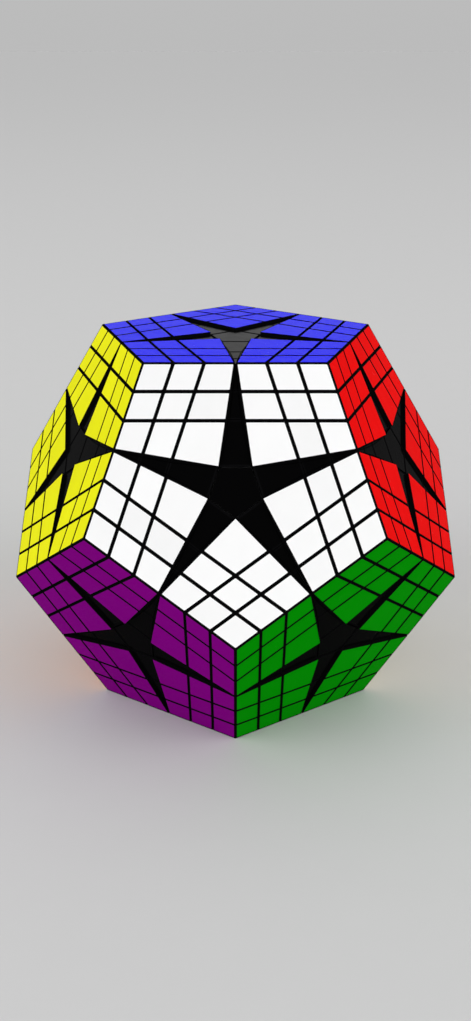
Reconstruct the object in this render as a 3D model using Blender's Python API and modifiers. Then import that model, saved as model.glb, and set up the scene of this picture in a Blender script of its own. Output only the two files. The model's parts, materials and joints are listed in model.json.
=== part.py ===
"""Dodecahedron twisty puzzle: twelve faces, each with three turning layers, on a twelve-post core.

The centre of the puzzle is the origin. The blue face is up, the light blue face is down and
the white face looks along -Y. Every shape is made once in the top face's own frame, with that
face's axis along +Z and one of its corners towards +Y, and is then carried to its place by one
of the rotations that leave a dodecahedron as it was.

Three faces that share no piece turn here: white, light blue and lime. Each carries three layers.
"""

import itertools
import math

import bmesh
import bpy
from mathutils import Matrix, Vector

# The outside
EDGE = 0.048  # six pieces of 8 mm along each edge
PIECES_PER_EDGE = 6
GAP = 0.0003  # between two pieces
STAR_DEPTH = 0.0008  # the star in each face lies this far below it
STAR_CORNER = 0.0075  # from the middle of a face to an inner corner of its star
STAR_TIP_HALF = 0.00041  # half the width of a star's arm where it meets the edge
CONE_CORNER = 0.0073  # where the cones of two neighbouring faces cross, from a face's middle

# The mechanism
BALL_RADIUS = 0.0340  # the third layers slide on this sphere
CORE_RADIUS = 0.0157
CAVITY_RADIUS = 0.0160
POST_RADIUS = 0.0032
POST_ROOT = 0.0080
POST_END = 0.0498
BORE_RADIUS = POST_RADIUS + GAP
SHOULDER = 0.0483  # the spring under each screw head presses on this height
COUNTERBORE_RADIUS = 0.0048
SCREW_HEAD_RADIUS = 0.0044
SCREW_HEAD_BOTTOM = POST_END + GAP
SCREW_HEAD_TOP = 0.0511
SCREW_SHANK_RADIUS = 0.0013
SCREW_TIP = 0.0420
SCREW_HOLE_BOTTOM = 0.0415
SOCKET_RADIUS = 0.0016
SOCKET_DEPTH = 0.0006
CAP_CORNER = 0.0069  # the star's middle cap, from its centre to a corner
CAP_SEAT = 0.0513
FOOT_RADIUS = 0.0016  # the peg that holds a corner in its layer
FLANGE_RADIUS = 0.0024
FLANGE_THICKNESS = 0.0015
FOOT_HEIGHT = 0.0499
FOOT_INNER = 0.0280
FOOT_OUTER = 0.0365
TIP_ROOM = (0.004, 0.008, 0.007)  # cleared from the frame round the middle of each fixed edge

# How round the round shapes are
CONE_STEPS = 30
ARC_STEPS = 4
BALL_SUBDIVISIONS = 3
BALL_TURN = 0.2  # radians about Z, so that no corner of the ball falls on a cone's edge
BORE_STEPS = 12
POST_STEPS = 10
FOOT_STEPS = 8
BISECTIONS = 60  # halvings that find where a cone meets a sphere

# Distances that follow from the edge
GOLDEN = (1 + math.sqrt(5)) / 2
FIFTH = math.tau / 5
HALF_GAP = GAP / 2
INRADIUS = EDGE * GOLDEN**2 / (2 * math.sqrt(3 - GOLDEN))
MIDRADIUS = EDGE * GOLDEN**2 / 2
FACE_RADIUS = EDGE / (2 * math.sin(FIFTH / 2))
APOTHEM = EDGE / (2 * math.tan(FIFTH / 2))
BETWEEN_FACES = math.atan(2)  # between the axes of two neighbouring faces
EDGE_FALL = EDGE * math.cos(math.atan(1 / GOLDEN))  # how far the next edge falls below a face
LAYER = EDGE_FALL / PIECES_PER_EDGE
CUTS = [INRADIUS - LAYER * layer for layer in (1, 2, 3)]
FAR = 0.070  # outside the whole puzzle
ROOM_GROWTH = 1 / math.cos(math.pi / CONE_STEPS)  # so that a room's flats clear a round piece

UPPER_RING = ("white", "red", "pink", "lime", "yellow")
LOWER_RING = ("grey", "cream", "green", "purple", "orange")
TURNING_FACES = ("white", "light_blue", "lime")
UP = Vector((0, 0, 1))

FINISHES = {  # colour, roughness, metallic
    "piece_plastic": ((0.012, 0.012, 0.013), 0.38, 0.0),
    "cap_plastic": ((0.020, 0.020, 0.022), 0.28, 0.0),
    "frame_plastic": ((0.030, 0.030, 0.032), 0.50, 0.0),
    "core_plastic": ((0.600, 0.600, 0.580), 0.45, 0.0),
    "screw_steel": ((0.560, 0.570, 0.580), 0.30, 1.0),
}


def clear_scene():
    for old in list(bpy.data.objects):
        bpy.data.objects.remove(old, do_unlink=True)


def new_collection(name):
    made = bpy.data.collections.new(name)
    bpy.context.scene.collection.children.link(made)
    return made


def finish(name):
    """The Principled material of that name, made the first time it is asked for."""
    if name in bpy.data.materials:
        return bpy.data.materials[name]
    colour, roughness, metallic = FINISHES[name]
    made = bpy.data.materials.new(name)
    made.use_nodes = True
    shader = made.node_tree.nodes["Principled BSDF"]
    shader.inputs["Base Color"].default_value = (*colour, 1)
    shader.inputs["Roughness"].default_value = roughness
    shader.inputs["Metallic"].default_value = metallic
    return made


def spin(fifths):
    """A turn of that many fifths about the face's own axis."""
    return Matrix.Rotation(fifths * FIFTH, 4, "Z")


def face_turns():
    """For each face, the rotation that carries the top face onto it."""
    half = BETWEEN_FACES / 2
    to_white = Matrix.Rotation(math.pi, 4, Vector((0, -math.sin(half), math.cos(half))))
    over = Matrix.Rotation(math.pi, 4, "X")
    sides = [spin(fifths) @ to_white for fifths in range(5)]
    turns = {"blue": Matrix.Identity(4)}
    turns.update(zip(UPPER_RING, sides))
    turns.update(zip(LOWER_RING, [over @ side for side in sides]))
    turns["light_blue"] = over
    return turns


TURNS = face_turns()


def faces_at(tip):
    """The names of the three faces that meet at this corner of the dodecahedron."""
    return [name for name, turn in TURNS.items() if abs(tip.dot(turn @ UP) - INRADIUS) < GAP]


def corner_tip(place):
    return place @ Vector((0, FACE_RADIUS, INRADIUS))


def corner_places():
    """Each corner's three faces, with the face it is held in and its turn about that face."""
    places = {}
    homes = TURNING_FACES + tuple(name for name in TURNS if name not in TURNING_FACES)
    for home in homes:
        for fifths in range(5):
            around = "_".join(faces_at(corner_tip(TURNS[home] @ spin(fifths))))
            places.setdefault(around, (home, fifths))
    return places


def cone_height(radius, offset):
    """Height of a face's third cut at this radius about its axis, moved by offset along Z.

    The third cut is a cone. It passes through the middles of the edges that leave the face and
    through the inner corners of the neighbouring stars.
    """
    outer_radius = math.sqrt(MIDRADIUS**2 - CUTS[2] ** 2)
    towards = math.sin(BETWEEN_FACES) * math.cos(FIFTH / 2)
    corner_height = INRADIUS * math.cos(BETWEEN_FACES) + CONE_CORNER * towards
    corner_radius = math.sqrt(INRADIUS**2 + CONE_CORNER**2 - corner_height**2)
    slope = (CUTS[2] - corner_height) / (outer_radius - corner_radius)
    across = math.sqrt(1 + slope**2)
    return CUTS[2] + slope * (radius - outer_radius) + offset * across


def cone_radius(height, offset):
    rise = cone_height(1, 0) - cone_height(0, 0)
    return (height - cone_height(0, offset)) / rise


def new_object(name, mesh, collection, place=None):
    made = bpy.data.objects.new(name, mesh)
    made.matrix_world = place or Matrix.Identity(4)
    collection.objects.link(made)
    return made


def helper(name, mesh, place=None):
    """An object that only cuts or shapes others."""
    made = new_object(name, mesh, CUTTERS, place)
    made.hide_render = True
    made.display_type = "WIRE"
    return made


def mesh_from(name, build):
    """A mesh that build, a function, fills through bmesh."""
    shape = bmesh.new()
    build(shape)
    bmesh.ops.recalc_face_normals(shape, faces=shape.faces)
    mesh = bpy.data.meshes.new(name)
    shape.to_mesh(mesh)
    shape.free()
    return mesh


def trim(shape, normal, distance):
    """Keeps the part of a convex shape that lies below distance along normal."""
    everything = [*shape.verts, *shape.edges, *shape.faces]
    bmesh.ops.bisect_plane(
        shape,
        geom=everything,
        dist=1e-7,
        plane_co=normal * distance,
        plane_no=normal,
        clear_outer=True,
    )
    rim = [edge for edge in shape.edges if edge.is_boundary]
    if rim:
        bmesh.ops.edgeloop_fill(shape, edges=rim)


def convex_mesh(name, planes):
    """A block trimmed by planes, each a normal and a distance from the origin."""

    def build(shape):
        bmesh.ops.create_cube(shape, size=4 * FAR)
        for normal, distance in planes:
            trim(shape, normal, distance)

    return mesh_from(name, build)


def turned(name, profile, steps, place=None):
    """A profile of (radius, height) points turned about Z. It is closed unless it meets the axis."""
    count = len(profile)
    closed = profile[0][0] > 0
    edges = [(i, (i + 1) % count) for i in range(count if closed else count - 1)]
    mesh = bpy.data.meshes.new(name)
    mesh.from_pydata([(radius, 0, height) for radius, height in profile], edges, [])
    made = helper(name, mesh, place)
    screw = made.modifiers.new("turn", "SCREW")
    screw.axis = "Z"
    screw.angle = math.tau
    screw.steps = steps
    screw.render_steps = steps
    screw.use_merge_vertices = True
    screw.merge_threshold = 1e-6
    return made


def cone_cutter(name, offset, place=None):
    """Everything above a face's third cut, moved by offset away from the centre."""
    depth = FAR - cone_height(0, offset)
    wide = cone_radius(FAR, offset) * (ROOM_GROWTH if offset < 0 else 1)

    def build(shape):
        bmesh.ops.create_cone(
            shape,
            cap_ends=True,
            segments=CONE_STEPS,
            radius1=0,
            radius2=wide,
            depth=depth,
            matrix=Matrix.Translation((0, 0, FAR - depth / 2)),
        )

    return helper(name, mesh_from(name, build), place)


def ball_cutter(name, radius):
    def build(shape):
        off_centre = Matrix.Rotation(BALL_TURN, 4, "Z")
        bmesh.ops.create_icosphere(
            shape, subdivisions=BALL_SUBDIVISIONS, radius=radius, matrix=off_centre
        )

    return helper(name, mesh_from(name, build))


def pentagon_cutter(name, corner, bottom, top):
    """A five-sided prism about Z whose corners point at the face's corners."""

    def build(shape):
        bmesh.ops.create_cone(
            shape,
            cap_ends=True,
            segments=5,
            radius1=corner,
            radius2=corner,
            depth=top - bottom,
            matrix=Matrix.Translation((0, 0, (top + bottom) / 2)),
        )

    return helper(name, mesh_from(name, build))


def combine(target, operation, *others):
    for other in others:
        step = target.modifiers.new(other.name, "BOOLEAN")
        step.operation = operation
        step.solver = "EXACT"
        step.object = other


def baked(source, name):
    """The mesh of source with its modifiers applied."""
    bpy.context.view_layer.update()
    graph = bpy.context.evaluated_depsgraph_get()
    mesh = bpy.data.meshes.new_from_object(source.evaluated_get(graph))
    mesh.name = name
    return mesh


def settled(source, name):
    """A finished mesh for nodes: welded, shaded smooth except at its edges. Removes source."""
    mesh = baked(source, name)
    shape = bmesh.new()
    shape.from_mesh(mesh)
    bmesh.ops.remove_doubles(shape, verts=shape.verts, dist=1e-7)
    bmesh.ops.dissolve_degenerate(shape, edges=shape.edges, dist=1e-7)
    shape.to_mesh(mesh)
    shape.free()
    mesh.shade_smooth()
    mesh.set_sharp_from_angle(angle=math.radians(25))
    bpy.data.objects.remove(source, do_unlink=True)
    return mesh


def star_outline():
    """The star's outline, round the face: an inner corner, then out along an arm and back."""
    tip = APOTHEM
    beyond = APOTHEM + 5 * STAR_DEPTH
    arm = [(tip, STAR_TIP_HALF), (beyond, STAR_TIP_HALF), (beyond, -STAR_TIP_HALF), (tip, -STAR_TIP_HALF)]
    points = []
    for fifths in range(5):
        angle = math.pi / 2 + fifths * FIFTH
        points.append((STAR_CORNER * math.cos(angle), STAR_CORNER * math.sin(angle)))
        middle = angle + FIFTH / 2
        out = Vector((math.cos(middle), math.sin(middle)))
        side = Vector((out.y, -out.x))
        points += [tuple(out * along + side * across) for along, across in arm]
    return points


def star_mesh():
    """A prism of the star's outline that reaches down to the star's floor."""
    curve = bpy.data.curves.new("star", "CURVE")
    curve.dimensions = "2D"
    curve.fill_mode = "BOTH"
    curve.extrude = STAR_DEPTH
    outline = star_outline()
    spline = curve.splines.new("POLY")
    spline.points.add(len(outline) - 1)
    for point, (x, y) in zip(spline.points, outline):
        point.co = (x, y, 0, 1)
    spline.use_cyclic_u = True
    drawn = new_object("star_curve", curve, CUTTERS)
    mesh = baked(drawn, "star")
    bpy.data.objects.remove(drawn, do_unlink=True)
    shape = bmesh.new()
    shape.from_mesh(mesh)
    bmesh.ops.remove_doubles(shape, verts=shape.verts, dist=1e-6)
    bmesh.ops.recalc_face_normals(shape, faces=shape.faces)
    bmesh.ops.translate(shape, verts=shape.verts, vec=(0, 0, INRADIUS))
    shape.to_mesh(mesh)
    shape.free()
    return mesh


def outer_mesh():
    """The whole dodecahedron with the twelve stars sunk into it."""
    walls = convex_mesh("dodecahedron", [(turn @ UP, INRADIUS) for turn in TURNS.values()])
    whole = helper("dodecahedron", walls)
    prism = star_mesh()
    for name, turn in TURNS.items():
        combine(whole, "DIFFERENCE", helper("star_" + name, prism, turn))
    return settled(whole, "outer")


def corner_cell(name, floor, roof):
    """The cell at the +Y corner of the top face, between two distances along three face axes."""
    normals = [TURNS[face] @ UP for face in faces_at(corner_tip(Matrix.Identity(4)))]
    planes = [(normal, roof) for normal in normals]
    planes += [(-normal, -floor) for normal in normals]
    return convex_mesh(name, planes)


def foot(name, play):
    """The peg and flange that point from a corner to the face's axis, made larger by play."""
    length = FOOT_OUTER - FOOT_INNER
    profile = [
        (0, length),
        (FOOT_RADIUS + play, length),
        (FOOT_RADIUS + play, FLANGE_THICKNESS + play),
        (FLANGE_RADIUS + play, FLANGE_THICKNESS + play),
        (FLANGE_RADIUS + play, -play),
        (0, -play),
    ]
    lie_down = Matrix.Rotation(-math.pi / 2, 4, "X")
    return turned(name, profile, FOOT_STEPS, Matrix.Translation((0, FOOT_INNER, FOOT_HEIGHT)) @ lie_down)


def corner_mesh():
    made = helper("corner_pattern", corner_cell("corner_pattern", CUTS[0] + HALF_GAP, INRADIUS))
    combine(made, "UNION", foot("foot", 0))
    return settled(made, "corner")


def corner_room(turns):
    """Cutters that make room for the corners, with their feet, at these turns."""
    room = helper("corner_room", corner_cell("corner_room", CUTS[0] - HALF_GAP, FAR))
    combine(room, "UNION", foot("foot_room", GAP))
    mesh = settled(room, "corner_room")
    return [helper(f"corner_room_{i}", mesh, turn) for i, turn in enumerate(turns)]


def layer_profile(layer):
    """The turned envelope of one layer of a face."""
    top = FAR if layer == 1 else CUTS[layer - 2] - HALF_GAP
    if layer == 3:
        return third_layer_profile(top)
    floor = CUTS[layer - 1] + HALF_GAP
    profile = [(FAR, top), (FAR, floor), (BORE_RADIUS, floor)]
    if layer == 1:
        return profile + [(BORE_RADIUS, SHOULDER), (COUNTERBORE_RADIUS, SHOULDER), (COUNTERBORE_RADIUS, top)]
    return profile + [(BORE_RADIUS, top)]


def third_layer_profile(top):
    """Down the cone, along the sphere to the bore, and up the bore."""
    hollow = BALL_RADIUS + GAP
    arc = sphere_arc(hollow, HALF_GAP, math.asin(BORE_RADIUS / hollow))
    return [(cone_radius(top, HALF_GAP), top), *arc, (BORE_RADIUS, top)]


def sphere_arc(radius, offset, end_angle):
    """Points on a sphere, from where a face's third cut meets it to an angle from the axis."""
    low, high = 0.0, math.pi / 2
    for _ in range(BISECTIONS):
        angle = (low + high) / 2
        above = radius * math.cos(angle) > cone_height(radius * math.sin(angle), offset)
        low, high = (angle, high) if above else (low, angle)
    angles = [low + (end_angle - low) * i / ARC_STEPS for i in range(ARC_STEPS + 1)]
    return [(radius * math.sin(angle), radius * math.cos(angle)) for angle in angles]


def layer_meshes(outer):
    """The three layers of a face, each cut from the outer shape by its envelope."""
    envelopes = [turned(f"envelope_{n}", layer_profile(n), CONE_STEPS) for n in (1, 2, 3)]
    made = []
    for number, envelope in enumerate(envelopes, 1):
        layer = helper(f"layer_pattern_{number}", outer)
        combine(layer, "INTERSECT", envelope)
        if number == 1:
            combine(layer, "DIFFERENCE", CAP_ROOM, *corner_room([spin(k) for k in range(5)]))
        made.append(settled(layer, f"layer_{number}"))
    return made


def cones_at_corner(name, offset):
    """The third cuts of the three faces that meet at the +Y corner."""
    around = faces_at(corner_tip(Matrix.Identity(4)))
    return [cone_cutter(f"{name}_{face}", offset, TURNS[face]) for face in around]


def block_mesh(outer):
    """The wings and face pieces round one corner, outside the ball."""
    block = helper("block_pattern", outer)
    combine(block, "INTERSECT", *cones_at_corner("block", HALF_GAP))
    combine(block, "DIFFERENCE", ball_cutter("ball_room", BALL_RADIUS + GAP))
    combine(block, "DIFFERENCE", *corner_room([Matrix.Identity(4)]))
    return settled(block, "block")


def block_room_mesh():
    """The room that the frame leaves for a block."""
    room = helper("block_room", corner_cell("block_room", CORE_RADIUS, FAR - GAP))
    combine(room, "INTERSECT", *cones_at_corner("block_cone", -HALF_GAP))
    combine(room, "DIFFERENCE", ball_cutter("ball", BALL_RADIUS - HALF_GAP))
    return settled(room, "block_room")


def stack_room(face):
    """The room that the frame leaves for a turning face's three layers."""
    arc = sphere_arc(BALL_RADIUS - HALF_GAP, -HALF_GAP, 0)
    arc[-1] = (0, arc[-1][1])
    profile = [(0, FAR), (cone_radius(FAR, -HALF_GAP) * ROOM_GROWTH, FAR), *arc]
    return turned("stack_room_" + face, profile, CONE_STEPS, TURNS[face])


def fixed_edge_places():
    """The middles of the edges between two fixed faces, with X along the edge and Z outwards."""
    still = [turn @ UP for name, turn in TURNS.items() if name not in TURNING_FACES]
    places = []
    for one, other in itertools.combinations(still, 2):
        if one.angle(other) > BETWEEN_FACES + GAP:
            continue
        along = one.cross(other).normalized()
        out = (one + other).normalized()
        turn = Matrix((along, out.cross(along), out)).transposed().to_4x4()
        places.append(Matrix.Translation(out * MIDRADIUS) @ turn)
    return places


def tip_room_mesh():
    def build(shape):
        bmesh.ops.create_cube(shape, size=1, matrix=Matrix.Diagonal((*TIP_ROOM, 1)))

    return mesh_from("tip_room", build)


def frame_mesh(outer, block_turns):
    """What stays still: the ball, the webs between the cones and the floors of nine stars.

    The webs would end in blades at the middles of the edges, so they are cleared there.
    """
    frame = helper("frame_pattern", outer)
    tip_room = tip_room_mesh()
    for index, place in enumerate(fixed_edge_places()):
        combine(frame, "DIFFERENCE", helper(f"tip_room_{index}", tip_room, place))
    combine(frame, "DIFFERENCE", *[stack_room(face) for face in TURNING_FACES])
    room = block_room_mesh()
    for index, turn in enumerate(block_turns):
        combine(frame, "DIFFERENCE", helper(f"block_room_{index}", room, turn))
    combine(frame, "DIFFERENCE", ball_cutter("cavity", CAVITY_RADIUS))
    for face, turn in TURNS.items():
        combine(frame, "DIFFERENCE", axle_room(face, turn))
        if face not in TURNING_FACES:
            combine(frame, "DIFFERENCE", helper("cap_room_" + face, CAP_ROOM.data, turn))
    return settled(frame, "frame")


def axle_room(face, turn):
    """The bore for a post, with its counterbore for the spring and the screw's head."""
    profile = [
        (0, FAR),
        (COUNTERBORE_RADIUS, FAR),
        (COUNTERBORE_RADIUS, SHOULDER),
        (BORE_RADIUS, SHOULDER),
        (BORE_RADIUS, POST_ROOT),
        (0, POST_ROOT),
    ]
    return turned("axle_room_" + face, profile, BORE_STEPS, turn)


def core_mesh():
    """A ball with twelve posts, each with a blind hole for its screw."""
    hole = SCREW_SHANK_RADIUS + GAP
    profile = [
        (0, SCREW_HOLE_BOTTOM),
        (hole, SCREW_HOLE_BOTTOM),
        (hole, POST_END),
        (POST_RADIUS, POST_END),
        (POST_RADIUS, POST_ROOT),
        (0, POST_ROOT),
    ]
    core = ball_cutter("core_pattern", CORE_RADIUS)
    posts = [turned("post_" + face, profile, POST_STEPS, turn) for face, turn in TURNS.items()]
    combine(core, "UNION", *posts)
    return settled(core, "core")


def screw_mesh():
    profile = [
        (0, SCREW_HEAD_TOP),
        (SCREW_HEAD_RADIUS, SCREW_HEAD_TOP),
        (SCREW_HEAD_RADIUS, SCREW_HEAD_BOTTOM),
        (SCREW_SHANK_RADIUS, SCREW_HEAD_BOTTOM),
        (SCREW_SHANK_RADIUS, SCREW_TIP),
        (0, SCREW_TIP),
    ]
    screw = turned("screw_pattern", profile, POST_STEPS)
    floor = SCREW_HEAD_TOP - SOCKET_DEPTH
    socket_profile = [(0, FAR), (SOCKET_RADIUS, FAR), (SOCKET_RADIUS, floor), (0, floor)]
    combine(screw, "DIFFERENCE", turned("socket", socket_profile, 6))
    return settled(screw, "screw")


def pivot(name, parent, turn):
    """An empty on a joint's axis, which is its local Z."""
    made = new_object(name, None, PARTS)
    made.parent = parent
    made.matrix_local = turn
    made.empty_display_size = EDGE / 4
    return made


def add_part(name, mesh, parent, turn, material):
    """One node: a piece that is carried to its place from the top face's frame."""
    made = new_object(name, mesh, PARTS)
    made.parent = parent
    made.matrix_local = turn
    if not mesh.materials:
        mesh.materials.append(finish(material))
    return made


def build():
    outer = outer_mesh()
    layers = layer_meshes(outer)
    corners = corner_places()
    still = {k: v for k, v in corners.items() if v[0] not in TURNING_FACES}
    block = block_mesh(outer)
    frame = frame_mesh(outer, [TURNS[home] @ spin(k) for home, k in still.values()])
    meshes = {"corner": corner_mesh(), "screw": screw_mesh(), "cap": baked(CAP, "cap")}

    centre = pivot("puzzle_centre", None, Matrix.Identity(4))
    add_part("core_spider", core_mesh(), centre, Matrix.Identity(4), "core_plastic")
    add_part("inner_frame", frame, centre, Matrix.Identity(4), "frame_plastic")

    first_layers = {}
    for face in TURNING_FACES:
        for number, mesh in enumerate(layers, 1):
            name = f"{face}_layer_{number}"
            axis = pivot(name + "_axis", centre, TURNS[face])
            add_part(name, mesh, axis, Matrix.Identity(4), "piece_plastic")
            first_layers.setdefault(face, axis)

    for face, turn in TURNS.items():
        holder, local = (first_layers[face], spin(0)) if face in first_layers else (centre, turn)
        add_part("star_cap_" + face, meshes["cap"], holder, local, "cap_plastic")
        add_part("axle_screw_" + face, meshes["screw"], centre, turn, "screw_steel")

    for around, (home, fifths) in corners.items():
        if home in first_layers:
            holder, local = first_layers[home], spin(fifths)
        else:
            holder, local = centre, TURNS[home] @ spin(fifths)
            add_part("wing_block_" + around, block, holder, local, "piece_plastic")
        add_part("corner_" + around, meshes["corner"], holder, local, "piece_plastic")


clear_scene()
PARTS = new_collection("dodecahedron_twisty_puzzle")
CUTTERS = new_collection("cutters")
CAP = pentagon_cutter("cap_pattern", CAP_CORNER - HALF_GAP, CAP_SEAT + HALF_GAP, INRADIUS - STAR_DEPTH)
CAP_ROOM = pentagon_cutter("cap_room", CAP_CORNER + HALF_GAP, CAP_SEAT, FAR)
build()
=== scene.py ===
import json
import math
from itertools import product

import bmesh
import bpy
from mathutils import Matrix, Vector


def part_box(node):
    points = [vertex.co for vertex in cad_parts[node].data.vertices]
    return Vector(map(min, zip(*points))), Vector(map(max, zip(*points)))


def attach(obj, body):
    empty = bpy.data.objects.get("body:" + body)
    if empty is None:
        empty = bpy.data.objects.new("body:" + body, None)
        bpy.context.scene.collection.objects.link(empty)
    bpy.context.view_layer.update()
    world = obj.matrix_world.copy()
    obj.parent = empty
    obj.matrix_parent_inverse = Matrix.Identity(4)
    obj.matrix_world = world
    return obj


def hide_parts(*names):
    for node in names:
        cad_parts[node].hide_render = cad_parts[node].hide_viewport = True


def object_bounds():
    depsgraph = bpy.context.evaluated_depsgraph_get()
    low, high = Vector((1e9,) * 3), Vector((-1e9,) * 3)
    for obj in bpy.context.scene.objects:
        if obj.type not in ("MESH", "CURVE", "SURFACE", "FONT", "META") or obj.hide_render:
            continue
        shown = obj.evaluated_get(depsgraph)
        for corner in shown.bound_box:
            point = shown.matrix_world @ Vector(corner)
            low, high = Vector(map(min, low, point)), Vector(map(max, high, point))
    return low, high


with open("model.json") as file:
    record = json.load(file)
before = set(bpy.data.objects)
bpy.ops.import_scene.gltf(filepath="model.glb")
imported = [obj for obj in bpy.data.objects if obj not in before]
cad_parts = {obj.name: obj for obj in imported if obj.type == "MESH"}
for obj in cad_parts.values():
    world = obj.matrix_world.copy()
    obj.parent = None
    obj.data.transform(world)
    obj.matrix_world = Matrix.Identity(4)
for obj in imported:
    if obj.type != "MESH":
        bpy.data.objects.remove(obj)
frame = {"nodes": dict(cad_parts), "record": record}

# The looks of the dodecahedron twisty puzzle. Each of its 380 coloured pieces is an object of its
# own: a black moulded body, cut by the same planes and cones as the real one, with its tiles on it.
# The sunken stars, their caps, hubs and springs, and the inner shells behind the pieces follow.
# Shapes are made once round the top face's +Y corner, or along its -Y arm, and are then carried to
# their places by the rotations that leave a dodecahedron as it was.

CAD_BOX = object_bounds()

# ---------------------------------------------------------------- sizes, from the frame
GOLDEN = (1 + math.sqrt(5)) / 2
FIFTH = math.tau / 5
UP = Vector((0, 0, 1))
INRADIUS = -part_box("light_blue_layer_1")[0].z  # from the centre to a face
EDGE = INRADIUS * 2 * math.sqrt(3 - GOLDEN) / GOLDEN**2
MIDRADIUS = EDGE * GOLDEN**2 / 2  # from the centre to the middle of an edge
FACE_RADIUS = EDGE / (2 * math.sin(FIFTH / 2))  # from a face's middle to its corner
BETWEEN_FACES = math.atan(2)  # between the axes of two neighbouring faces
SIDEWAYS = math.sin(BETWEEN_FACES)  # how fast a neighbour's height grows across a face
PIECES_PER_EDGE = 6
LAYER = EDGE * math.cos(math.atan(1 / GOLDEN)) / PIECES_PER_EDGE
CUTS = [INRADIUS - LAYER * layer for layer in (1, 2, 3)]  # their heights on a face's axis
FAR = 2 * INRADIUS  # outside the whole puzzle

BODY_GAP = 0.00008  # half the slit between two bodies
CONE_GAP = 0.00005  # half the slit along a third cut
TILE_RISE = 0.00002  # the tiles stand this far above the bodies
TILE_ROOT = 0.00006  # and reach this far into them
TILE_LINE = 0.00048  # from a cut to the tile beside it
TILE_EDGE = 0.00050  # from an edge of the dodecahedron to the tile beside it
TILE_CORNER = 0.00016  # the tiles' corner radius
TILE_BEVEL = 0.00002  # along the tiles' upper rims
BODY_BEVEL = 0.00008  # along the bodies' edges
WALL_BORDER = 0.00034  # from a tile to the wall of the star beside it
LEDGE_LINE = 0.00050  # from the same tile to the glossy plate on the star's floor
STAR_DEPTH = 0.0008  # from a face down to the floor of its star
STAR_CORNER = 0.0075  # from a face's middle to an inner corner of its star
CONE_CORNER = 0.0073  # the same for the third cuts' crossing
CONE_FACET = math.radians(7.2)  # the coloured pieces' third cuts are flat facets this wide,
CONE_FACETS = 12  # this many, half of them on each side of the way to the corner
PLATE_MARGIN = 0.00004  # from a third cut to the glossy plates on both sides of it
CORE_LINE = 0.0006  # from the third cut round a star's cap to the plates outside it
LEAST_HALF_WIDTH = 0.00004  # of a star's arm where it would come to a point
TIP_PLATE_SHARE = 0.75  # how much of a star's tip has a plate
CAP_THICKNESS = 0.0012
CAP_TAPER = 0.0004  # how far the cap draws in towards its underside
ARM_STEPS = 8  # sections along an arm piece
ARM_THICKNESS = 0.0048
TIP_THICKNESS = 0.0024
CAP_GAP = 0.00015  # from the third cut round a star's cap to the cap, and to the arms
SHELL_GAP = 0.00012  # between the pieces and the inner shells

HUB_RADIUS = 0.0053
HUB_DEPTH = 0.0015  # from the star's floor to the hub's top
HUB_CHAMFER = 0.0002
HUB_BORE = 0.0036  # round the post
SPRING_SEAT = 0.0483  # the height of the step that the spring stands on
SEAT_RADIUS = 0.0048
SPRING_RADIUS = 0.0041
SPRING_WIRE = 0.0003
SPRING_LOW = 0.0486
SPRING_HIGH = 0.0498
SPRING_TURNS = 2.5
SPRING_POINTS = 60
ROUND_STEPS = 48  # how round a turned shape is
SHARP = math.radians(30)  # its edges that turn by more than this look sharp

WELD = 2e-6  # points closer than this are one
SLIVER = 1e-6  # edges shorter than this are dropped, and levels this close are the same
PLANE_TOLERANCE = 1e-8
FLAT = 0.01  # faces that turn by less than this, in radians, become one
HALVINGS = 40  # these find where a line meets a third cut

FLOOR = INRADIUS - STAR_DEPTH

UPPER_RING = ("white", "red", "pink", "lime", "yellow")
LOWER_RING = ("grey", "cream", "green", "purple", "orange")


def spin(fifths):
    """A turn of that many fifths about the top face's axis."""
    return Matrix.Rotation(fifths * FIFTH, 4, "Z")


def face_turns():
    """For each face, the rotation that carries the top face onto it."""
    half = BETWEEN_FACES / 2
    to_white = Matrix.Rotation(math.pi, 4, Vector((0, -math.sin(half), math.cos(half))))
    over = Matrix.Rotation(math.pi, 4, "X")
    sides = [spin(fifths) @ to_white for fifths in range(5)]
    turns = {"blue": Matrix.Identity(4)}
    turns.update(zip(UPPER_RING, sides))
    turns.update(zip(LOWER_RING, [over @ side for side in sides]))
    turns["light_blue"] = over
    return turns


TURNS = face_turns()
NORMALS = {name: (turn @ UP).normalized() for name, turn in TURNS.items()}
SLICES = {joint["child"] for joint in frame["record"]["behaviour"]["joints"]}
TURNING = {name for name in TURNS if f"{name}_slice_1" in SLICES}


def face_named(normal):
    """The face whose axis is nearest to a direction."""
    return max(NORMALS, key=lambda name: NORMALS[name].dot(normal))


def body_for(layers):
    """The CAD body of a piece, given the layer it is in under each of its faces."""
    for face, layer in layers.items():
        if face in TURNING:
            return f"{face}_slice_{layer}"
    return "core"


def cone_line():
    """Height at the axis, and slope, of a face's third cut."""
    outer_radius = math.sqrt(MIDRADIUS**2 - CUTS[2] ** 2)
    height = INRADIUS * math.cos(BETWEEN_FACES) + CONE_CORNER * SIDEWAYS * math.cos(FIFTH / 2)
    radius = math.sqrt(INRADIUS**2 + CONE_CORNER**2 - height**2)
    slope = (CUTS[2] - height) / (outer_radius - radius)
    return CUTS[2] - slope * outer_radius, slope


CONE_HEIGHT, CONE_SLOPE = cone_line()


def over_third_cut(point, axis):
    """How far a point is above a face's third cut: less than nothing on the core's side."""
    height = point.dot(axis)
    radius = (point - axis * height).length
    return (height - CONE_HEIGHT - CONE_SLOPE * radius) / math.sqrt(1 + CONE_SLOPE**2)


def way_to_third_cut(start, direction, axis, gap):
    """How far from start, along direction, a point is gap above a face's third cut."""
    near, far = 0.0, INRADIUS
    for _ in range(HALVINGS):
        middle = (near + far) / 2
        if over_third_cut(start + direction * middle, axis) > gap:
            far = middle
        else:
            near = middle
    return near


# ---------------------------------------------------------------- materials

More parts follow.
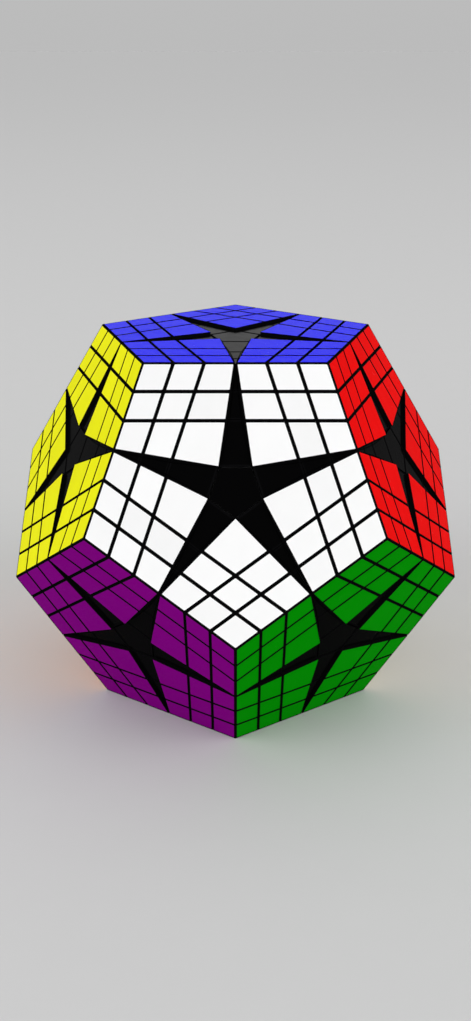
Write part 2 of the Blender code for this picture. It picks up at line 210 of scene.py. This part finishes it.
CLOUD_SCALE = 90.0  # soft clouds about 11 mm across
WEAR_SCALE = 600.0  # gloss that changes every 2 mm or so
GLOSS_SWING = (-0.05, 0.06)  # added to the roughness where the wear is least and most
RAMP_ENDS = (0.2, 0.8)
BUMP_STRENGTH = 0.6


def node_maker(material):
    """A function that adds a node of a kind, sets its inputs and links those that are sockets."""
    nodes, links = material.node_tree.nodes, material.node_tree.links

    def make(kind, inputs=None, **settings):
        node = nodes.new(kind)
        for key, value in settings.items():
            setattr(node, key, value)
        for key, value in (inputs or {}).items():
            if isinstance(value, bpy.types.NodeSocket):
                links.new(value, node.inputs[key])
            else:
                node.inputs[key].default_value = value
        return node

    return make


def shaded(colour, factor):
    """A lighter or darker colour, with its alpha."""
    return (*[min(1.0, part * factor) for part in colour], 1)


def moulded(name, colour, roughness, grain, relief, spread=0.06, specular=0.5, metallic=0.0):
    """Moulded plastic or metal: soft clouds in the colour, uneven gloss and a fine relief.

    grain is the size of the relief's bumps and relief their depth, both in metres. spread is how
    far the clouds go from the colour.
    """
    material = bpy.data.materials.new(name)
    material.use_nodes = True
    shader = material.node_tree.nodes["Principled BSDF"]
    links = material.node_tree.links
    make = node_maker(material)
    place = make("ShaderNodeTexCoord").outputs["Object"]

    clouds = make("ShaderNodeTexNoise", {"Vector": place, "Scale": CLOUD_SCALE, "Detail": 3.0})
    lot = make("ShaderNodeObjectInfo").outputs["Random"]
    both = make("ShaderNodeMath", {0: clouds.outputs["Fac"], 1: lot}, operation="ADD")
    mean = make("ShaderNodeMath", {0: both.outputs[0], 1: 0.5}, operation="MULTIPLY")
    ramp = make("ShaderNodeValToRGB", {"Fac": mean.outputs[0]})
    factors = (1 - spread, 1 + spread)
    for stop, position, factor in zip(ramp.color_ramp.elements, RAMP_ENDS, factors):
        stop.position = position
        stop.color = shaded(colour, factor)
    links.new(ramp.outputs["Color"], shader.inputs["Base Color"])

    wear = make(
        "ShaderNodeTexNoise", {"Vector": place, "Scale": WEAR_SCALE, "Detail": 4.0, "Roughness": 0.65}
    )
    gloss = make("ShaderNodeMapRange", {"Value": wear.outputs["Fac"], "From Min": 0.3, "From Max": 0.7})
    gloss.inputs["To Min"].default_value = roughness + GLOSS_SWING[0]
    gloss.inputs["To Max"].default_value = roughness + GLOSS_SWING[1]
    links.new(gloss.outputs["Result"], shader.inputs["Roughness"])

    skin = make("ShaderNodeTexNoise", {"Vector": place, "Scale": 1 / grain, "Detail": 2.0})
    bump = make(
        "ShaderNodeBump",
        {"Height": skin.outputs["Fac"], "Distance": relief, "Strength": BUMP_STRENGTH},
    )
    links.new(bump.outputs["Normal"], shader.inputs["Normal"])
    shader.inputs["Specular IOR Level"].default_value = specular
    shader.inputs["Metallic"].default_value = metallic
    return material


TILE_COLOURS = {
    "blue": (0.0, 0.0, 0.86),
    "white": (0.86, 0.86, 0.86),
    "red": (0.76, 0.0, 0.0),
    "pink": (0.90, 0.25, 0.45),
    "lime": (0.28, 0.80, 0.03),
    "yellow": (0.79, 0.78, 0.006),
    "grey": (0.30, 0.30, 0.31),
    "cream": (0.88, 0.80, 0.50),
    "green": (0.0, 0.26, 0.0),
    "purple": (0.20, 0.0, 0.20),
    "orange": (0.90, 0.25, 0.01),
    "light_blue": (0.10, 0.48, 0.90),
}
SHEEN = 0.003  # low, so that only a grazing view of a tile or a star shines
BLACK = moulded(
    "piece_plastic", (0.003, 0.003, 0.0033), roughness=0.6, grain=0.0004, relief=0.00001, specular=0.0
)
STAR_COLOUR = (0.0015, 0.0015, 0.0016)
STAR_BLACK = moulded(
    "star_plastic", STAR_COLOUR, roughness=0.16, grain=0.0006, relief=0.000002, specular=SHEEN
)
SHELL_BLACK = moulded(
    "frame_plastic", (0.012, 0.012, 0.013), roughness=0.5, grain=0.0005, relief=0.00001
)
CORE_PLASTIC = moulded(
    "core_plastic", (0.60, 0.60, 0.57), roughness=0.42, grain=0.0006, relief=0.00002
)
STEEL = moulded(
    "screw_steel", (0.56, 0.57, 0.58), roughness=0.28, grain=0.0003, relief=0.000004, metallic=1.0
)
TILE_LOOK = {
    "roughness": 0.22,
    "grain": 0.0009,
    "relief": 0.000003,
    "spread": 0.03,
    "specular": SHEEN,
}
TILES = {
    name: moulded("tile_" + name, colour, **TILE_LOOK) for name, colour in TILE_COLOURS.items()
}

# ---------------------------------------------------------------- solids trimmed by planes


def trim(shape, normal, distance):
    """Keeps the part of a convex shape that lies below distance along normal."""
    everything = [*shape.verts, *shape.edges, *shape.faces]
    bmesh.ops.bisect_plane(
        shape,
        geom=everything,
        dist=PLANE_TOLERANCE,
        plane_co=normal * distance,
        plane_no=normal,
        clear_outer=True,
    )
    rim = [edge for edge in shape.edges if edge.is_boundary]
    if rim:
        bmesh.ops.edgeloop_fill(shape, edges=rim)


def convex(planes):
    """A bmesh of everything that lies below all planes, each a normal and a distance."""
    shape = bmesh.new()
    bmesh.ops.create_cube(shape, size=2 * FAR)
    for normal, distance in planes:
        trim(shape, normal, distance)
    bmesh.ops.remove_doubles(shape, verts=shape.verts, dist=WELD)
    bmesh.ops.dissolve_degenerate(shape, edges=shape.edges, dist=SLIVER)
    bmesh.ops.recalc_face_normals(shape, faces=shape.faces)
    return shape


def soften(shape, width, steps, least_angle=20, chosen=None):
    """Rounds the edges that turn by more than least_angle degrees."""
    limit = math.radians(least_angle)
    edges = [e for e in shape.edges if len(e.link_faces) == 2 and e.calc_face_angle(0) > limit]
    if chosen:
        edges = [e for e in edges if chosen(e)]
    bmesh.ops.bevel(
        shape, geom=edges, offset=width, segments=steps, profile=0.5, affect="EDGES", clamp_overlap=True
    )


def soften_rim(shape, up, level):
    """Rounds the edges that lie at the given level along up."""

    def at_level(edge):
        return all(abs(vert.co.dot(up) - level) < SLIVER for vert in edge.verts)

    soften(shape, TILE_BEVEL, steps=1, chosen=at_level)


def mesh_of(name, shape):
    mesh = bpy.data.meshes.new(name)
    shape.to_mesh(mesh)
    shape.free()
    return mesh


def shape_of(mesh):
    shape = bmesh.new()
    shape.from_mesh(mesh)
    bpy.data.meshes.remove(mesh)
    return shape


def combined(mesh, tool, operation):
    """The mesh that a Boolean of two meshes gives. It uses both up."""
    pair = [bpy.data.objects.new("boolean", data) for data in (mesh, tool)]
    for made in pair:
        bpy.context.scene.collection.objects.link(made)
    modifier = pair[0].modifiers.new("boolean", "BOOLEAN")
    modifier.operation = operation
    modifier.solver = "EXACT"
    modifier.object = pair[1]
    bpy.context.view_layer.update()
    graph = bpy.context.evaluated_depsgraph_get()
    result = bpy.data.meshes.new_from_object(pair[0].evaluated_get(graph))
    for made, data in zip(pair, (mesh, tool)):
        bpy.data.objects.remove(made)
        bpy.data.meshes.remove(data)
    return result


# ---------------------------------------------------------------- the coloured pieces

CORNER = Vector((0, FACE_RADIUS, INRADIUS))  # the corner round which the pieces are shaped
TOUCHING = 0.00001  # a face this close to the corner meets it
UPRIGHT = 0.7  # the least cosine between a face's axis and a tile's upright edge
AROUND = [name for name in NORMALS if abs(CORNER.dot(NORMALS[name]) - INRADIUS) < TOUCHING]
AXES = [NORMALS[name] for name in AROUND]


def cone_planes(axis, offset):
    """Planes that keep a convex shape above a face's third cut, near the +Y corner."""
    level = CONE_HEIGHT + offset * math.sqrt(1 + CONE_SLOPE**2)
    towards = (CORNER - axis * CORNER.dot(axis)).normalized()
    across = axis.cross(towards)
    slope = CONE_SLOPE / math.cos(CONE_FACET / 2)
    planes = []
    for facet in range(-CONE_FACETS // 2, CONE_FACETS // 2):
        angle = (facet + 0.5) * CONE_FACET
        out = towards * math.cos(angle) + across * math.sin(angle)
        normal = out * slope - axis
        planes.append((normal.normalized(), -level / normal.length))
    return planes


def layer_planes(axis, layer, gap, cone_gap):
    """Planes that keep a shape inside one layer of a face."""
    planes = []
    if layer > 1:
        planes.append((axis, CUTS[layer - 2] - gap))
    if layer < 3:
        planes.append((-axis, -CUTS[layer - 1] - gap))
    else:
        planes += cone_planes(axis, cone_gap)
    return planes


def star_wall(face, third, border):
    """The plane of a star's wall on a face.

    It runs from the middle of the edge that face shares with third to the star's inner corner.
    border moves it into the star.
    """
    middle_of_face = face * INRADIUS
    middle_of_edge = (face + third).normalized() * MIDRADIUS
    tip = middle_of_edge + (CORNER - middle_of_edge).normalized() * TILE_LINE
    inner = middle_of_face + (CORNER - middle_of_face).normalized() * STAR_CORNER
    normal = face.cross(inner - tip).normalized()
    if normal.dot(CORNER - tip) > 0:
        normal = -normal
    return normal, normal.dot(tip) + border


def shown_and_deep(layers):
    """Where a piece has a star beside it: pairs of a face that it shows and a third layer it is in."""
    return [
        (shown, deep)
        for shown, deep in product(range(3), range(3))
        if layers[shown] == 1 and layers[deep] == 3
    ]


def wall_beside(shown, deep, border):
    """The wall on the face shown of the star that the third layer under the face deep borders."""
    return star_wall(AXES[shown], AXES[3 - shown - deep], border)


def body_shape(layers):
    """A piece's black body. Beside a star it has a step down to the star's floor."""
    planes = [(axis, INRADIUS - TILE_RISE) for axis in AXES]
    for axis, layer in zip(AXES, layers):
        planes += layer_planes(axis, layer, BODY_GAP, CONE_GAP)
    body = mesh_of("body", convex(planes))
    for shown, deep in shown_and_deep(layers):
        normal, distance = wall_beside(shown, deep, WALL_BORDER)
        recess = convex([(-AXES[shown], TILE_RISE - FLOOR), (-normal, -distance)])
        body = combined(body, mesh_of("recess", recess), "DIFFERENCE")
    shape = shape_of(body)
    bmesh.ops.remove_doubles(shape, verts=shape.verts, dist=WELD)
    bmesh.ops.dissolve_limit(shape, angle_limit=FLAT, verts=shape.verts, edges=shape.edges)
    soften(shape, BODY_BEVEL, steps=2)
    return shape


def finish_plate(shape, face, level):
    """Rounds a tile's corners and its upper rim."""

    def upright(edge):
        return abs((edge.verts[1].co - edge.verts[0].co).normalized().dot(face)) > UPRIGHT

    soften(shape, TILE_CORNER, steps=3, chosen=upright)
    soften_rim(shape, face, level)
    return shape


def tile_shape(layers, shown):
    """The coloured tile on one of a piece's faces."""
    face = AXES[shown]
    planes = [(face, INRADIUS), (-face, -(INRADIUS - TILE_RISE - TILE_ROOT))]
    for index, (axis, layer) in enumerate(zip(AXES, layers)):
        if index == shown:
            continue
        if layer == 1:
            planes.append((axis, INRADIUS - TILE_EDGE * SIDEWAYS))
        planes += layer_planes(axis, layer, TILE_LINE * SIDEWAYS, CONE_GAP)
        if layer == 3:
            planes.append(wall_beside(shown, index, 0))
    return finish_plate(convex(planes), face, INRADIUS)


def ledge_shape(layers, shown, deep):
    """The glossy plate on a piece's step, which is part of the star's floor."""
    face, third = AXES[shown], 3 - shown - deep
    normal, distance = wall_beside(shown, deep, LEDGE_LINE)
    planes = [(face, FLOOR), (-face, -(FLOOR - TILE_RISE - TILE_ROOT)), (-normal, -distance)]
    planes += cone_planes(AXES[deep], CONE_GAP + PLATE_MARGIN)
    planes += layer_planes(AXES[third], layers[third], TILE_LINE * SIDEWAYS, CONE_GAP + CORE_LINE)
    if layers[third] == 1:
        planes.append((AXES[third], FLOOR - TILE_RISE))
    shape = convex(planes)
    soften_rim(shape, face, FLOOR)
    return shape


def join(whole, part, material):
    """Adds part, whose faces take the given material, to whole."""
    for face in part.faces:
        face.material_index = material
    extra = mesh_of("part", part)
    whole.from_mesh(extra)
    bpy.data.meshes.remove(extra)


def piece_mesh(name, layers):
    """A body with its tiles. Material 0 is the body's, 1 to 3 the tiles' and 4 the star floor's."""
    whole = body_shape(layers)
    for shown in range(3):
        if layers[shown] == 1:
            join(whole, tile_shape(layers, shown), 1 + shown)
    for shown, deep in shown_and_deep(layers):
        join(whole, ledge_shape(layers, shown, deep), 4)
    return mesh_of(name, whole)


def corner_places():
    """The twenty corners: the rotation to each, and the names of its three faces in AXES' order."""
    places = {}
    for turn, fifths in product(TURNS.values(), range(5)):
        place = turn @ spin(fifths)
        around = [face_named(place.to_3x3() @ axis) for axis in AXES]
        places.setdefault(frozenset(around), (place, around))
    return list(places.values())


def piece_name(around, layers):
    """Such as corner_piece_blue_white_red, wing_blue_white_red_2 or face_white_blue_2_red_3."""
    shown = [face for face, layer in zip(around, layers) if layer == 1]
    rest = [(face, layer) for face, layer in zip(around, layers) if layer > 1]
    if len(shown) == 3:
        return "corner_piece_" + "_".join(shown)
    kind = "wing" if len(shown) == 2 else "face"
    return "_".join([kind, *shown, *[f"{face}_{layer}" for face, layer in rest]])


def add(name, mesh, place, body, materials):
    """Adds a piece. Its place is in its mesh, as a CAD node's is, so that its bounding box is exact."""
    mesh.transform(place)
    for material in materials:
        mesh.materials.append(material)
    made = bpy.data.objects.new(name, mesh)
    bpy.context.scene.collection.objects.link(made)
    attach(made, body)
    return made


def same_faces(node, around):
    """Whether a CAD node's name ends in these three faces, in any order."""
    text = node
    for face in sorted(around, key=len, reverse=True):
        if "_" + face not in text:
            return False
        text = text.replace("_" + face, "", 1)
    return text in ("corner", "wing_block")


def cad_node_of(layers, around):
    """The CAD node that a coloured piece stands for."""
    shown = [face for face in around if layers[face] == 1]
    if len(shown) == 3:
        return next(n for n in frame["nodes"] if n.startswith("corner_") and same_faces(n, around))
    for face in around:
        if face in TURNING:
            return f"{face}_layer_{layers[face]}"
    return next(n for n in frame["nodes"] if n.startswith("wing_block_") and same_faces(n, around))


def add_coloured_pieces():
    """The nineteen pieces round each of the twenty corners."""
    shapes = {}
    for layers in product((1, 2, 3), repeat=3):
        if 1 in layers:
            shapes[layers] = piece_mesh("piece", layers)
    for place, around in corner_places():
        for layers, shape in shapes.items():
            named = dict(zip(around, layers))
            materials = [BLACK, *[TILES[face] for face in around], STAR_BLACK]
            name = piece_name(around, layers)
            made = add(name, shape.copy(), place, body_for(named), materials)
            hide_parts(cad_node_of(named, around))


# ---------------------------------------------------------------- the sunken stars

WHITE = NORMALS["white"]
BESIDE = NORMALS["red"]
ARM = Vector((0, -1, 0))  # from the middle of the top face towards the white one
SIDE = Vector((1, 0, 0))
INWARDS = -(UP - WHITE * UP.dot(WHITE)).normalized()  # down, at an even height under the white face
BODY_LEVEL = FLOOR - TILE_RISE


def along_arm(height, level):
    """How far along the arm a point of this level is at this height under the white face."""
    return (height - level * math.cos(BETWEEN_FACES)) / SIDEWAYS


def section(along, level, drop, inset):
    """Four points round the arm, two on its top and two below, out to the third cuts beside it."""
    rows = []
    for middle in (ARM * along + UP * level, ARM * along + UP * level + drop):
        half = max(way_to_third_cut(middle, SIDE, BESIDE, -CONE_GAP) - inset, LEAST_HALF_WIDTH)
        rows.append([middle + SIDE * half, middle - SIDE * half])
    return [*rows[0], *reversed(rows[1])]


def loft(sections):
    """A closed solid through sections of four points."""
    shape = bmesh.new()
    rings = [[shape.verts.new(point) for point in ring] for ring in sections]
    for ring, following in zip(rings, rings[1:]):
        for index in range(4):
            after = (index + 1) % 4
            shape.faces.new((ring[index], ring[after], following[after], following[index]))
    shape.faces.new(rings[0])
    shape.faces.new(rings[-1])
    bmesh.ops.recalc_face_normals(shape, faces=shape.faces)
    return shape


def shares(steps):
    """Evenly spread shares from 0 to 1."""
    return [step / steps for step in range(steps + 1)]


def arm_plate(start, end):
    """The glossy plate on an arm piece."""
    drop = -UP * (TILE_RISE + TILE_ROOT)
    lengths = [start + (end - start) * share for share in shares(ARM_STEPS)]
    shape = loft([section(along, FLOOR, drop, PLATE_MARGIN) for along in lengths])
    soften_rim(shape, UP, FLOOR)
    return shape


def arm_mesh(layer):
    """The piece of the arm in the white face's second layer, or in its third."""
    end = along_arm(CUTS[layer - 2] - BODY_GAP, BODY_LEVEL)
    plate_end = along_arm(CUTS[layer - 2], FLOOR) - TILE_LINE
    if layer == 2:
        start = along_arm(CUTS[1] + BODY_GAP, BODY_LEVEL)
        plate_start = along_arm(CUTS[1], FLOOR) + TILE_LINE
    else:
        start = way_to_third_cut(UP * BODY_LEVEL, ARM, WHITE, CAP_GAP)
        plate_start = start + CORE_LINE
    drop = INWARDS * ARM_THICKNESS
    lengths = [start + (end - start) * share for share in shares(ARM_STEPS)]
    whole = loft([section(along, BODY_LEVEL, drop, 0) for along in lengths])
    soften(whole, BODY_BEVEL, steps=2, least_angle=30)
    join(whole, arm_plate(plate_start, plate_end), 1)
    return mesh_of("arm", whole)


def tip_mesh():
    """The piece across an edge, where the arms of two stars meet. It is narrowest at the edge."""
    start = along_arm(CUTS[0] + BODY_GAP, BODY_LEVEL)
    ridge = BODY_LEVEL * math.tan(BETWEEN_FACES / 2)
    inmost = -(UP + WHITE).normalized()
    half = []
    for share in shares(ARM_STEPS):
        drop = INWARDS.lerp(inmost, share).normalized() * TIP_THICKNESS
        half.append(section(start + (ridge - start) * share, BODY_LEVEL, drop, 0))
    across = Matrix.Rotation(math.pi, 3, UP + WHITE)
    other_half = [[across @ ring[index] for index in (1, 0, 3, 2)] for ring in reversed(half[:-1])]
    whole = loft(half + other_half)
    soften(whole, BODY_BEVEL / 2, steps=1, least_angle=30)
    plate_start = along_arm(CUTS[0], FLOOR) + TILE_LINE
    plate = arm_plate(plate_start, plate_start + (ridge - plate_start) * TIP_PLATE_SHARE)
    mirrored = plate.copy()
    bmesh.ops.transform(mirrored, matrix=across, verts=mirrored.verts)
    join(whole, plate, 1)
    join(whole, mirrored, 1)
    return mesh_of("tip", whole)


def pentagon_plate(rims):
    """A closed solid between two pentagons, each given by its apothem and level."""
    shape = bmesh.new()
    for apothem, level in rims:
        for fifths in range(5):
            angle = math.pi / 2 + fifths * FIFTH
            radius = apothem / math.cos(FIFTH / 2)
            shape.verts.new((radius * math.cos(angle), radius * math.sin(angle), level))
    bmesh.ops.convex_hull(shape, input=shape.verts)
    bmesh.ops.dissolve_limit(shape, angle_limit=FLAT, verts=shape.verts, edges=shape.edges)
    bmesh.ops.recalc_face_normals(shape, faces=shape.faces)
    return shape


def cap_mesh():
    """The pentagon that closes the middle of a star, with its glossy plate."""
    side = way_to_third_cut(UP * BODY_LEVEL, ARM, WHITE, -CAP_GAP)
    whole = pentagon_plate([(side, BODY_LEVEL), (side - CAP_TAPER, BODY_LEVEL - CAP_THICKNESS)])
    soften(whole, BODY_BEVEL, steps=2)
    plate_side = side - BODY_BEVEL
    plate = pentagon_plate([(plate_side, FLOOR), (plate_side, BODY_LEVEL - TILE_ROOT)])
    join(whole, finish_plate(plate, UP, FLOOR), 1)
    return mesh_of("cap", whole)


def turned_mesh(name, profile):
    """A closed profile of (radius, height) points turned about Z."""
    shape = bmesh.new()
    verts = [shape.verts.new((radius, 0, height)) for radius, height in profile]
    edges = [shape.edges.new((verts[i], verts[(i + 1) % len(verts)])) for i in range(len(verts))]
    bmesh.ops.spin(
        shape, geom=verts + edges, axis=UP, angle=math.tau, steps=ROUND_STEPS, use_merge=True
    )
    bmesh.ops.remove_doubles(shape, verts=shape.verts, dist=WELD)
    bmesh.ops.recalc_face_normals(shape, faces=shape.faces)
    mesh = mesh_of(name, shape)
    mesh.shade_smooth()
    mesh.set_sharp_from_angle(angle=SHARP)
    return mesh


def hub_mesh():
    """The ring in the middle of the first layer, with a step for the spring."""
    bottom = CUTS[0] + CONE_GAP
    top = FLOOR - HUB_DEPTH
    profile = [
        (HUB_RADIUS, top),
        (HUB_RADIUS, bottom + HUB_CHAMFER),
        (HUB_RADIUS - HUB_CHAMFER, bottom),
        (HUB_BORE, bottom),
        (HUB_BORE, SPRING_SEAT),
        (SEAT_RADIUS, SPRING_SEAT),
        (SEAT_RADIUS, top),
    ]
    return turned_mesh("hub", profile)


def spring_mesh():
    """A coil of wire between the hub's step and the screw's head."""
    curve = bpy.data.curves.new("spring", "CURVE")
    curve.dimensions = "3D"
    curve.bevel_depth = SPRING_WIRE
    curve.bevel_resolution = 2
    curve.use_fill_caps = True
    spline = curve.splines.new("POLY")
    spline.points.add(SPRING_POINTS - 1)
    for index, point in enumerate(spline.points):
        share = index / (SPRING_POINTS - 1)
        angle = share * SPRING_TURNS * math.tau
        height = SPRING_LOW + (SPRING_HIGH - SPRING_LOW) * share
        point.co = (SPRING_RADIUS * math.cos(angle), SPRING_RADIUS * math.sin(angle), height, 1)
    holder = bpy.data.objects.new("spring", curve)
    bpy.context.scene.collection.objects.link(holder)
    bpy.context.view_layer.update()
    graph = bpy.context.evaluated_depsgraph_get()
    mesh = bpy.data.meshes.new_from_object(holder.evaluated_get(graph))
    bpy.data.objects.remove(holder)
    bpy.data.curves.remove(curve)
    mesh.shade_smooth()
    return mesh


def add_stars():
    """Each face's cap, hub, spring and arms, and one tip across each edge."""
    arms = {layer: arm_mesh(layer) for layer in (2, 3)}
    tip, cap, hub, spring = tip_mesh(), cap_mesh(), hub_mesh(), spring_mesh()
    star_plastics = [BLACK, STAR_BLACK]
    edges = set()
    for face, turn in TURNS.items():
        body = body_for({face: 1})
        made = add("star_cap_piece_" + face, cap.copy(), turn, body, star_plastics)
        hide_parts("star_cap_" + face)
        add("star_hub_" + face, hub.copy(), turn, body, [SHELL_BLACK])
        add("spring_" + face, spring.copy(), turn, "core", [STEEL])
        for fifths in range(5):
            place = turn @ spin(fifths)
            other = face_named(place.to_3x3() @ WHITE)
            for layer, arm in arms.items():
                rides = body if face in TURNING else body_for({other: layer})
                name = f"star_arm_{face}_{other}_{layer}"
                add(name, arm.copy(), place, rides, star_plastics)
            if frozenset((face, other)) not in edges:
                edges.add(frozenset((face, other)))
                rides = body if face in TURNING else body_for({other: 1})
                add(f"star_tip_{face}_{other}", tip.copy(), place, rides, star_plastics)


# ---------------------------------------------------------------- the inner shells


def add_shells():
    """What lies behind the pieces: the deeper CAD solids, cut back to just under the first layers."""
    depth = CUTS[0] - SHELL_GAP
    inside = mesh_of("inside", convex([(normal, depth) for normal in NORMALS.values()]))
    bodies = frame["record"]["behaviour"]["bodies"]
    for node, cad in frame["nodes"].items():
        stays_still = node == "inner_frame" or node.startswith("wing_block")
        if not (stays_still or node.endswith(("_layer_2", "_layer_3"))):
            continue
        mesh = combined(cad.data.copy(), inside.copy(), "INTERSECT")
        mesh.materials.clear()
        body = next(name for name, nodes in bodies.items() if node in nodes)
        made = add(node + "_shell", mesh, Matrix.Identity(4), body, [SHELL_BLACK])
        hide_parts(node)
    bpy.data.meshes.remove(inside)


def dress_cad_nodes():
    """The core and the screws are shown as the CAD has them."""
    for node, cad in frame["nodes"].items():
        if node == "core_spider" or node.startswith("axle_screw"):
            cad.data.materials.clear()
            cad.data.materials.append(CORE_PLASTIC if node == "core_spider" else STEEL)


# ---------------------------------------------------------------- stage, light and camera

CAMERA_ELEVATION = math.radians(20.84)
CAMERA_DISTANCE = 7.8364 * EDGE
CAMERA_LENS = 44.56
CAMERA_SENSOR = 36
FLOOR_RADIUS = 12.0
FLOOR_COLOUR = (0.65, 0.65, 0.65)
FLOOR_LOOK = {
    "roughness": 0.85,
    "grain": 0.002,
    "relief": 0.00001,
    "spread": 0.01,
    "specular": 0.0,
}
KEY_LIGHTS = {  # direction from the puzzle, and power
    "key_left": ((-0.8, -0.55, 0.6), 12.5),
    "key_right": ((0.8, -0.55, 0.6), 11.5),
}
KEY_DISTANCE = 2.5
KEY_SIZE = 1.6
SKY = (  # height, from 0 at the horizon to 1 overhead, and brightness there
    (0.0, 0.50),
    (0.12, 0.51),
    (0.17, 2.6),
    (0.32, 2.6),
    (0.42, 0.65),
    (0.75, 0.5),
    (1.0, 0.45),
)


def add_camera():
    data = bpy.data.cameras.new("camera")
    data.sensor_width = CAMERA_SENSOR
    data.lens = CAMERA_LENS
    data.clip_start = 0.01
    camera = bpy.data.objects.new("camera", data)
    bpy.context.scene.collection.objects.link(camera)
    back = Vector((0, -math.cos(CAMERA_ELEVATION), math.sin(CAMERA_ELEVATION)))
    camera.location = back * CAMERA_DISTANCE
    camera.rotation_euler = (math.pi / 2 - CAMERA_ELEVATION, 0, 0)
    bpy.context.scene.camera = camera


def add_key_light(name, direction, power):
    """A soft round light in front of the puzzle and above it, which no camera sees."""
    data = bpy.data.lights.new(name, "AREA")
    data.shape = "DISK"
    data.size = KEY_SIZE
    data.energy = power
    light = bpy.data.objects.new(name, data)
    bpy.context.scene.collection.objects.link(light)
    out = Vector(direction).normalized()
    light.visible_camera = False
    light.location = out * KEY_DISTANCE
    light.rotation_euler = out.to_track_quat("Z", "Y").to_euler()


def add_world():
    """A soft white sky, with a bright band above the horizon that the top face's star reflects."""
    world = bpy.data.worlds.new("studio")
    world.use_nodes = True
    nodes, links = world.node_tree.nodes, world.node_tree.links
    direction = nodes.new("ShaderNodeTexCoord")
    height = nodes.new("ShaderNodeSeparateXYZ")
    ramp = nodes.new("ShaderNodeValToRGB")
    links.new(direction.outputs["Generated"], height.inputs["Vector"])
    links.new(height.outputs["Z"], ramp.inputs["Fac"])
    links.new(ramp.outputs["Color"], nodes["Background"].inputs["Color"])
    stops = ramp.color_ramp.elements
    for place, _ in SKY[1:-1]:
        stops.new(place)
    for stop, (_, brightness) in zip(stops, SKY):
        stop.color = (brightness, brightness, brightness, 1)
    bpy.context.scene.world = world


def add_stage():
    shape = bmesh.new()
    bmesh.ops.create_circle(shape, cap_ends=True, segments=96, radius=FLOOR_RADIUS)
    floor = bpy.data.objects.new("floor", mesh_of("floor", shape))
    bpy.context.scene.collection.objects.link(floor)
    floor.location.z = CAD_BOX[0].z
    paint = moulded("floor_paint", FLOOR_COLOUR, **FLOOR_LOOK)
    floor.data.materials.append(paint)
    add_world()
    for name, (direction, power) in KEY_LIGHTS.items():
        add_key_light(name, direction, power)
    view = bpy.context.scene.view_settings
    view.view_transform = "Standard"
    view.look = "None"


add_camera()
add_stage()
add_coloured_pieces()
add_stars()
add_shells()
dress_cad_nodes()
